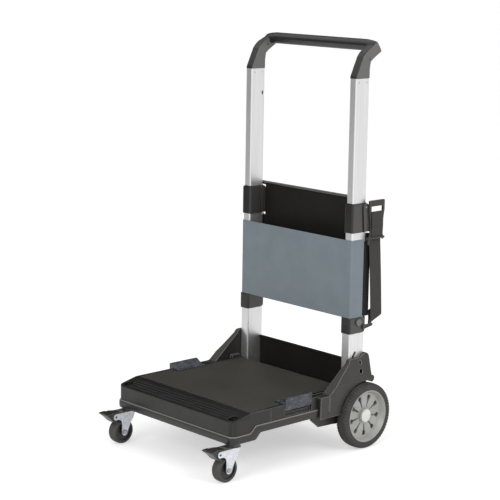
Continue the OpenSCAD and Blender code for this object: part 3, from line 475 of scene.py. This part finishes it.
def rings_to_faces(ring_count, around):
    """Quads between rings of points, each ring closed on itself, and a face over both ends."""
    faces = []
    for ring in range(ring_count - 1):
        for k in range(around):
            a, b = ring * around + k, ring * around + (k + 1) % around
            faces.append((a, b, b + around, a + around))
    last = (ring_count - 1) * around
    faces.append(tuple(range(around))[::-1])
    faces.append(tuple(last + k for k in range(around)))
    return faces


def hoop_to_faces(ring_count, around):
    """Quads between rings of points that follow each other round a hoop."""
    faces = []
    for ring in range(ring_count):
        a, b = ring * around, (ring + 1) % ring_count * around
        for k in range(around):
            after = (k + 1) % around
            faces.append((a + k, a + after, b + after, b + k))
    return faces


def superellipse(steps, power):
    """Unit points round a rounded square; the power sets how square it is, and 2 is a circle."""
    points = []
    for k in range(steps):
        turn = 2 * math.pi * k / steps
        c, s = math.cos(turn), math.sin(turn)
        scale = (abs(c) ** power + abs(s) ** power) ** (-1 / power)
        points.append((c * scale, s * scale))
    return points


def gathered(solids):
    """Several solids, (points, faces) each, as one list of points and one of faces."""
    corners, faces = [], []
    for points, sides in solids:
        faces += [tuple(len(corners) + k for k in side) for side in sides]
        corners += points
    return corners, faces


def melted(name, solids, grain, passes, body, slot, stands_for):
    """Overlapping closed solids merged into one moulding with soft corners."""
    shape = bpy.data.objects.new(name, raw_mesh(name, *gathered(solids)))
    scene.collection.objects.link(shape)
    merge = shape.modifiers.new("merge", "REMESH")
    merge.mode = "VOXEL"
    merge.voxel_size = grain * MM
    merge.use_smooth_shade = True
    soften = shape.modifiers.new("soften", "SMOOTH")
    soften.factor = 0.5
    soften.iterations = passes
    mesh = bpy.data.meshes.new_from_object(shape.evaluated_get(bpy.context.evaluated_depsgraph_get()))
    bpy.data.objects.remove(shape)
    mesh.materials.clear()
    return seat_piece(name, mesh, body, slot, stands_for)


def together(name, solids, body, slot):
    """Several separate closed solids kept as one piece."""
    return new_piece(name, *gathered(solids), body, slot)


def stud(place, along, radius, height, steps=20):
    """A short round stud with an eased rim, as (points, faces)."""
    along = Vector(along).normalized()
    side = along.orthogonal().normalized()
    other = along.cross(side)
    rings = []
    for rise, reach in ((0, radius), (height * 0.6, radius), (height, radius * 0.8)):
        for k in range(steps):
            turn = 2 * math.pi * k / steps
            out = side * math.cos(turn) + other * math.sin(turn)
            rings.append(Vector(place) + along * rise + out * reach)
    return rings, rings_to_faces(3, steps)


# ---------------------------------------------------------------- handle

def make_handle():
    """Flat-sided legs over the tubes, bent back to a grip bar that joins their ends."""
    high = box_mm("handle_grip")[1]
    tube_low, tube_high = box_mm("right_upper_tube")
    x_in = tube_low.x - (high.x - tube_high.x)
    foot = tube_high.z
    wall = 0.6
    front = tube_low.y - wall
    # Height over the foot, near and far face behind the front, and the outer face's ease
    slices = (
        (0, 0, 51.2, 0), (7, 1.8, 51.2, 0), (27, 11, 51.4, 0), (42, 18, 54, 0), (49, 21.5, 62, 0),
        (57, 25, 75, 0), (68, 35, 94, 0), (76, 46, 91.5, 0.8), (84, 62, 87.5, 2.5), (92, 77, 83, 6.0),
    )
    solids = []
    for side in (LEFT, RIGHT):
        points = []
        for height, near, far, ease in slices:
            outer = high.x - ease
            ring = [(x_in, near), (outer, near), (outer, far), (x_in, far)]
            points += [Vector((side * x, front + y, foot + height)) for x, y in ring]
        solids.append((points, rings_to_faces(len(slices), 4)))

    bar_back, bar_rise, bar_lean = 77, 84, math.radians(28)
    bar = Vector((0, front + bar_back, foot + bar_rise))
    lean = Matrix.Rotation(bar_lean, 3, "X")
    # Distance from the bar's middle, half its section and how far it drops towards the legs
    ends = ((high.x - 3, 9.5, 3), (high.x - 8, 12.2, 2), (high.x - 20, 13.4, 1), (high.x - 40, 14.4, 0))
    section = superellipse(32, 2.7)
    points = []
    for x, reach, drop in [(-x, r, d) for x, r, d in ends] + [(x, r, d) for x, r, d in ends[::-1]]:
        middle = bar + Vector((x, 0, -drop))
        points += [middle + lean @ Vector((0, u, v)) * reach for u, v in section]
    solids.append((points, rings_to_faces(2 * len(ends), len(section))))
    melted("bent_handle", solids, 1.5, 10, "handle", "handle", ("handle_grip",))

    # Four screws in a row under the bar, and one in each face of both legs
    screws = []
    under = Vector((0, -0.8, -0.6))
    for x in (-125, -42, 42, 125):
        screws.append(stud(bar + Vector((x, 0, 0)) + under * 13.1, under, 3.0, 1.2))
    for side in (LEFT, RIGHT):
        screws.append(stud((side * (high.x - 0.5), front + 49, foot + 50), (side, 0, 0), 3.2, 1.0))
        screws.append(stud((side * (x_in + 0.5), front + 60, foot + 66), (-side, 0, 0), 3.2, 1.0))
    together("handle_screws", screws, "handle", "collar")


make_handle()


# ---------------------------------------------------------------- platform lip

def make_lip():
    """The bulged bumper lip: level round the front, then stepping up along each side."""
    low, high = box_mm("platform_lip")
    tray_low = box_mm("platform_tray")[0]
    side_x, front_y = -tray_low.x, tray_low.y
    corner, tall = 16.0, 21.0
    rise = high.z - low.z - tall
    # Where the lower and the upper line climb; the upper one starts further forward
    foot_step = (front_y + 76, front_y + 98)
    head_step = (front_y + 57, front_y + 83)
    # Offset from the tray's face and height, round the lip's section
    section = (
        (0.35, 0.6), (1.4, 0.0), (2.8, 0.6), (3.7, 2.8), (4.0, 6.5), (4.0, 13.5), (3.8, 16.6), (3.2, 18.9),
        (2.3, 20.3), (1.2, 21.0), (0.35, 20.8),
    )

    def climb(at, start, end):
        share = min(max((at - start) / (end - start), 0), 1)
        return rise * share * share * (3 - 2 * share)

    # Half the way round the tray, each point with its outward direction, from the rear to the middle
    turn_y = front_y + corner
    sides, turns, halves = int((high.y - turn_y) / 3), 16, 12
    way = []
    for k in range(sides + 1):
        way.append((Vector((side_x, high.y + (turn_y - high.y) * k / sides, 0)), Vector((1, 0, 0))))
    for k in range(1, turns):
        turn = math.radians(90 * k / turns)
        out = Vector((math.cos(turn), -math.sin(turn), 0))
        way.append((Vector((side_x - corner, turn_y, 0)) + out * corner, out))
    for k in range(halves + 1):
        way.append((Vector(((side_x - corner) * (1 - k / halves), front_y, 0)), Vector((0, -1, 0))))
    way += [(Vector((-p.x, p.y, 0)), Vector((-n.x, n.y, 0))) for p, n in way[-2::-1]]

    points = []
    for spot, out in way:
        foot = low.z + climb(spot.y, *foot_step)
        head = low.z + tall + climb(spot.y, *head_step)
        for offset, height in section:
            place = spot + out * offset
            points.append(Vector((place.x, place.y, foot + (head - foot) * height / tall)))
    piece = new_piece("bulged_lip", points, rings_to_faces(len(way), len(section)), "platform", "tray",
                      ("platform_lip",))
    # The lip's finish paints a highlight on its upward faces
    piece.data.materials[0] = FINISHES["lip"]


make_lip()


# ---------------------------------------------------------------- strap and buckle

# Where points lie across the webbing, closer together at its thin edges
WEB_COLUMNS = (0, 0.015, 0.05, 0.2, 0.35, 0.5, 0.65, 0.8, 0.95, 0.985, 1)
RIB_HEIGHT, RIB_PITCH = 0.07, 1.6
# Length of webbing from one ring of points to the next
WEB_STEP = 0.4


def webbing(name, rings, thickness, flat, stands_for=()):
    """A ribbed band; each ring gives the middle and the normal for a place across the width."""
    points = []
    travelled = 0.0
    before = None
    for ring in rings:
        middle = ring(0.5)[0]
        travelled += (middle - before).length if before else 0.0
        before = middle
        rib = RIB_HEIGHT * math.sin(2 * math.pi * travelled / RIB_PITCH)
        for face in (1, -1):
            for across in WEB_COLUMNS[::face]:
                place, normal = ring(across)
                inward = min(across, 1 - across) * 30
                half = thickness / 2 * min(1.0, 0.35 + inward)
                points.append(place + normal * face * (half + rib * min(1.0, inward)))
    faces = rings_to_faces(len(rings), 2 * len(WEB_COLUMNS))
    piece = new_piece(name, points, faces, "chassis", "webbing", stands_for)
    tuple(v * MM for v in flat)


def make_strap():
    """The lashing strap: pulled straight down from the buckle and sewn back round its hook."""
    low, high = box_mm("strap")
    buckle_low = box_mm("strap_buckle")[0]
    thickness = high.x - low.x
    width = 44.0
    lean = high.y - low.y - width
    # The lower end is cut at a slant, and folded round the hook's bar
    slant, fold = 17.0, 3.9
    sewn_end = 30.0
    bend = buckle_low.z + 12
    middle_x = (low.x + high.x) / 2

    def below_bend(height):
        return min(max((bend - height) / (bend - low.z), 0), 1)

    def placed(across, height, x, normal):
        y = low.y + width * across + lean * below_bend(height)
        return Vector((x, y, height)), Vector(normal)

    def lowest(across):
        return low.z + slant * across + fold + thickness / 2

    def run(share):
        def ring(across):
            height = high.z + (lowest(across) - high.z) * share
            bow = 0.8 * math.sin(math.pi * below_bend(height))
            return placed(across, height, middle_x + bow, (1, 0, 0))
        return ring

    def turn(angle):
        def ring(across):
            height = lowest(across) - fold * math.sin(angle)
            x = middle_x - fold + fold * math.cos(angle)
            return placed(across, height, x, (math.cos(angle), 0, -math.sin(angle)))
        return ring

    def back(rise):
        def ring(across):
            return placed(across, lowest(across) + rise, middle_x - 2 * fold, (-1, 0, 0))
        return ring

    length = high.z - low.z - slant / 2
    count = int(length / WEB_STEP)
    rings = [run(k / count) for k in range(count + 1)]
    rings += [turn(math.pi * k / 8) for k in range(1, 8)]
    rings += [back(WEB_STEP * k) for k in range(round(sewn_end / WEB_STEP) + 1)]

    # Rows of stitches through both layers, each stitch a small spindle on the outer face
    rows, per_row, half_long, half_thick = 3, 11, 1.3, 0.45
    stitches = []
    for row in range(rows):
        for k in range(per_row):
            place = back(9.0 + 8 * row)(0.12 + 0.076 * k)[0]
            seat = Vector((high.x - 0.15, place.y, place.z))
            points = []
            for turned in (0.35, 0.9, 1.57, 2.24, 2.79):
                reach, end = half_thick * math.sin(turned), half_long * math.cos(turned)
                points += [seat + Vector((reach * u, end, reach * v)) for u, v in superellipse(6, 2)]
            stitches.append((points, rings_to_faces(5, 6)))
    sewn = together("strap_stitches", stitches, "chassis", "trim")
    flat = (width, length + sewn_end + math.pi * fold)
    webbing("lashing_strap", rings, thickness, flat, ("strap",))


def make_buckle_webbing():
    """The same webbing over the buckle's face and round its crossbar, and the bar it runs under."""
    low, high = box_mm("strap_buckle")
    thickness = 1.6
    face_x = high.x + 0.9
    # The webbing keeps clear of the buckle's sides, and runs from above its bar to its window
    margin = 7
    near, far = low.y + margin, high.y - margin
    start, window_low = low.z + 22, high.z - 32
    # How far it bulges over the face, its bend round the crossbar and the length in that bend
    swell, bend, bend_length = 1.6, 1.6, 4.2

    def upper(share):
        def ring(across):
            x = face_x + swell * math.sin(math.pi * share) ** 0.7
            height = start + (window_low - start) * share
            return Vector((x, near + (far - near) * across, height)), Vector((1, 0, 0))
        return ring

    def over(angle):
        def ring(across):
            spot = Vector((face_x - bend + bend * math.cos(angle), near + (far - near) * across,
                           window_low + bend * math.sin(angle)))
            return spot, Vector((math.cos(angle), 0, math.sin(angle)))
        return ring

    count = int((window_low - start) / WEB_STEP)
    rings = [upper(k / count) for k in range(count + 1)] + [over(math.pi * k / 8) for k in range(1, 7)]
    flat = (far - near, window_low - start + bend_length)
    webbing("strap_tail", rings, thickness, flat)

    bar_x, bar_z = face_x + 1.4, low.z + 19
    rod = []
    for y, reach in ((low.y + 2, 2.0), (low.y + 2.6, 2.8), (high.y - 2.6, 2.8), (high.y - 2, 2.0)):
        rod += [Vector((bar_x + u * reach, y, bar_z + v * reach)) for u, v in superellipse(20, 2)]
    together("buckle_bar", [(rod, rings_to_faces(4, 20))], "chassis", "trim")


make_strap()
make_buckle_webbing()


# ---------------------------------------------------------------- rear wheels

def round_axle(axle, x, radius, turn):
    """A point at a radius from the wheel's axle, turned from straight up."""
    return Vector((x, axle.y + radius * math.sin(turn), axle.z + radius * math.cos(turn)))


def make_rear_tyre(side):
    """A solid rubber tyre: bulged walls with a raised ring, and shoulder blocks round the tread."""
    name = "left" if side == LEFT else "right"
    low, high = box_mm(f"{name}_wheel_tyre")
    axle = (low + high) / 2
    half = (high.x - low.x) / 2
    outer = (high.z - low.z) / 2
    blocks, per_block = 62, 12
    shoulder_gap, groove, slit = 2.3, 1.3, 0.7
    # Distance from the tyre's middle as a share of its half width, and depth below the crown
    wall = (
        (0.972, 18.9), (0.985, 16.5), (0.968, 15.2), (0.968, 13.6), (0.992, 12.8), (1.0, 11.6),
        (0.985, 10.4), (0.98, 8.6), (0.965, 6.6), (0.93, 4.4), (0.87, 2.6), (0.79, 1.5), (0.68, 0.9),
        (0.56, 0.5), (0.545, 0.45), (0.41, 0.2), (0.395, 0.2), (0.2, 0.05), (0.05, 0.0),
    )
    profile = [(share, depth) for share, depth in wall] + [(-share, depth) for share, depth in wall[::-1]]
    steps = blocks * per_block
    points = []
    for step in range(steps):
        turn = 2 * math.pi * step / steps
        for share, depth in profile:
            phase = (step / per_block + 0.55 * abs(share) + (0.5 if share < 0 else 0.0)) % 1.0
            cut = 0.0
            if abs(share) > 0.55 and depth < 8:
                cut = shoulder_gap if phase < 0.34 else 0.0
            elif 0.4 < abs(share) < 0.55:
                cut = groove
            elif abs(share) < 0.4 and (phase * 2) % 1.0 < 0.18:
                cut = slit
            points.append(round_axle(axle, axle.x + side * share * half, outer - depth - cut, turn))
    new_piece(f"{name}_treaded_tyre", points, hoop_to_faces(steps, len(profile)), f"{name}_wheel", "tyre",
              (f"{name}_wheel_tyre",))


make_rear_tyre(LEFT)
make_rear_tyre(RIGHT)


def make_wheel_back(side):
    """The moulded disc behind the rim's slots, with two raised rings and shallow spokes."""
    name = "left" if side == LEFT else "right"
    low, high = box_mm(f"{name}_wheel_rim")
    axle = (low + high) / 2
    inner = low.x if side == RIGHT else high.x
    # Radius and depth in from the wheel's inner face, round the disc's section
    section = (
        (20.4, 8.5), (30, 8.5), (30.6, 7.3), (33.4, 7.3), (34, 8.5), (50, 8.5), (50.6, 7.3), (53.4, 7.3),
        (54, 8.5), (64.6, 8.5), (65.2, 9.1), (65.2, 10.4), (64.6, 11), (20.4, 11),
    )
    steps, spokes, spoke_height = 144, 18, 1.2
    points = []
    for step in range(steps):
        turn = 2 * math.pi * step / steps
        on_spoke = step % (steps // spokes) < 2
        for radius, depth in section:
            lift = spoke_height if on_spoke and depth < 9 and 21 < radius < 64 else 0.0
            points.append(round_axle(axle, inner + side * (depth - lift), radius, turn))
    new_piece(f"{name}_wheel_back", points, hoop_to_faces(steps, len(section)), f"{name}_wheel", "rim")


make_wheel_back(LEFT)
make_wheel_back(RIGHT)


# ---------------------------------------------------------------- small fittings

def make_caster_nuts(name):
    """Hexagon nuts on round washers at both ends of the caster's axle bolt."""
    low, high = box_mm(f"{name}_caster_bolt")
    middle = (low + high) / 2
    fittings = []
    for side, end in ((LEFT, low.x), (RIGHT, high.x)):
        seat = Vector((end - side * 0.9, middle.y, middle.z))
        fittings.append(stud(seat, (side, 0, 0), 6.4, 1.3, 28))
        fittings.append(stud(seat + Vector((side * 1.25, 0, 0)), (side, 0, 0), 4.6, 2.2, 6))
    together(f"{name}_caster_nuts", fittings, f"{name}_caster", "steel")


make_caster_nuts("left")
make_caster_nuts("right")


def make_edge_strips():
    """Dark strips that close the gap between the front cover's sides and the back panel."""
    cover_low, cover_high = box_mm("front_cover")
    tube_x = box_mm("right_lower_tube")[1].x
    front, rear = cover_high.y + 0.3, box_mm("upper_back_panel")[0].y - 0.4
    foot, top = cover_low.z + 2, cover_high.z - 6
    gap, thin, thick = 0.15, 1.1, 1.6
    outline = [
        (tube_x + thin, front), (tube_x + thick, front + 0.7), (tube_x + thick, rear - 0.8),
        (tube_x + thin, rear), (tube_x + gap, rear), (tube_x + gap, front),
    ]
    strips = []
    for side in (LEFT, RIGHT):
        points = [Vector((side * x, y, z)) for z in (foot, top) for x, y in outline]
        strips.append((points, rings_to_faces(2, len(outline))))
    together("panel_edge_strips", strips, "chassis", "panel")


make_edge_strips()


def make_slot_plugs():
    """Dark plugs pushed into the slanted slots in the lower tubes' outer faces."""
    tube_low, tube_high = box_mm("right_lower_tube")
    # The bracket's rear ear rises this far over its top edge
    ear = 10.0
    bracket_top = box_mm("right_side_bracket")[1].z - ear
    middle = Vector((tube_high.x, (tube_low.y + tube_high.y) / 2 - 9.5, bracket_top + 8))
    slant = math.radians(38)
    along = Vector((0, math.sin(slant), math.cos(slant)))
    across = Vector((0, along.z, -along.y))
    half_length, half_width, steps = 6.4, 3.1, 24
    # How far each ring of the plug stands out of the tube, and how much it is drawn in
    rings = ((-0.6, 0.4), (0.6, 0.0), (1.1, 0.4))
    plugs = []
    for side in (LEFT, RIGHT):
        points = []
        for rise, shrink in rings:
            reach = half_width - shrink
            for k in range(steps):
                turn = 2 * math.pi * k / steps
                end = half_length if math.cos(turn) > 0 else -half_length
                spot = middle + along * (end + reach * math.cos(turn)) + across * reach * math.sin(turn)
                points.append(Vector((side * (spot.x + rise), spot.y, spot.z)))
        plugs.append((points, rings_to_faces(len(rings), steps)))
    together("slot_plugs", plugs, "chassis", "beam")


make_slot_plugs()


# ---------------------------------------------------------------- stage

# How bright the world is as light, and how bright where it is looked at
DAYLIGHT, WHITE = 0.62, 1.0


def make_floor():
    """A pale floor just under the wheels, which keeps the cart's shadow and is lit up a little."""
    bpy.ops.mesh.primitive_plane_add(size=60, location=(0, 0, -0.2 * MM))
    floor = bpy.context.object
    floor.name = "floor"
    finish = Finish("pale_floor", Roughness=0.9, Specular_IOR_Level=0.1, Base_Color=(0.8, 0.8, 0.8, 1),
                    Emission_Color=(1, 1, 1, 1))
    finish.feed(finish.shader.inputs["Emission Strength"], finish.seen() * 0.5)
    floor.data.materials.append(finish.material)


def make_world():
    """Even white daylight from all round."""
    scene.world = bpy.data.worlds.new("studio")
    scene.world.use_nodes = True
    sky = Shading(scene.world.node_tree)
    background = sky.tree.nodes["Background"]
    sky.feed(background.inputs["Color"], (1, 1, 1, 1))
    sky.feed(background.inputs["Strength"], sky.spread(sky.seen(), 0, 1, DAYLIGHT, WHITE))


def studio_card(name, place, size, turn, shade):
    """An upright card that only mirrors see."""
    bpy.ops.mesh.primitive_plane_add(size=1, location=place)
    card = bpy.context.object
    card.name = name
    card.scale = (*size, 1)
    card.rotation_euler = (math.radians(90), 0, math.radians(turn))
    card.visible_camera = card.visible_diffuse = card.visible_shadow = False
    finish = Finish(name, Roughness=0.9, Specular_IOR_Level=0.0, Base_Color=(shade, shade, shade, 1))
    card.data.materials.append(finish.material)
    return card


def soft_lamp(name, place, size, power):
    """A round lamp that looks at the cart's middle."""
    data = bpy.data.lights.new(name, "AREA")
    data.shape = "DISK"
    data.size = size
    data.energy = power
    lamp = bpy.data.objects.new(name, data)
    lamp.location = place
    lamp.rotation_mode = "QUATERNION"
    lamp.rotation_quaternion = (LOOK_AT - Vector(place)).to_track_quat("-Z", "Y")
    scene.collection.objects.link(lamp)


make_floor()
make_world()
# The grey card is what the front faces mirror, the dark one what the top faces mirror
studio_card("grey_card", (-1.7, -1.7, 1.0), (3.0, 2.4), -45, 0.29)
studio_card("dark_card", (-2.0, 2.1, 1.5), (4.4, 3.4), 45, 0.02)
soft_lamp("key_lamp", (3.0, 0.2, 2.4), 1.6, 30)
soft_lamp("fill_lamp", (0.8, -3.4, 2.4), 2.0, 40)

scene.view_settings.view_transform = "Standard"
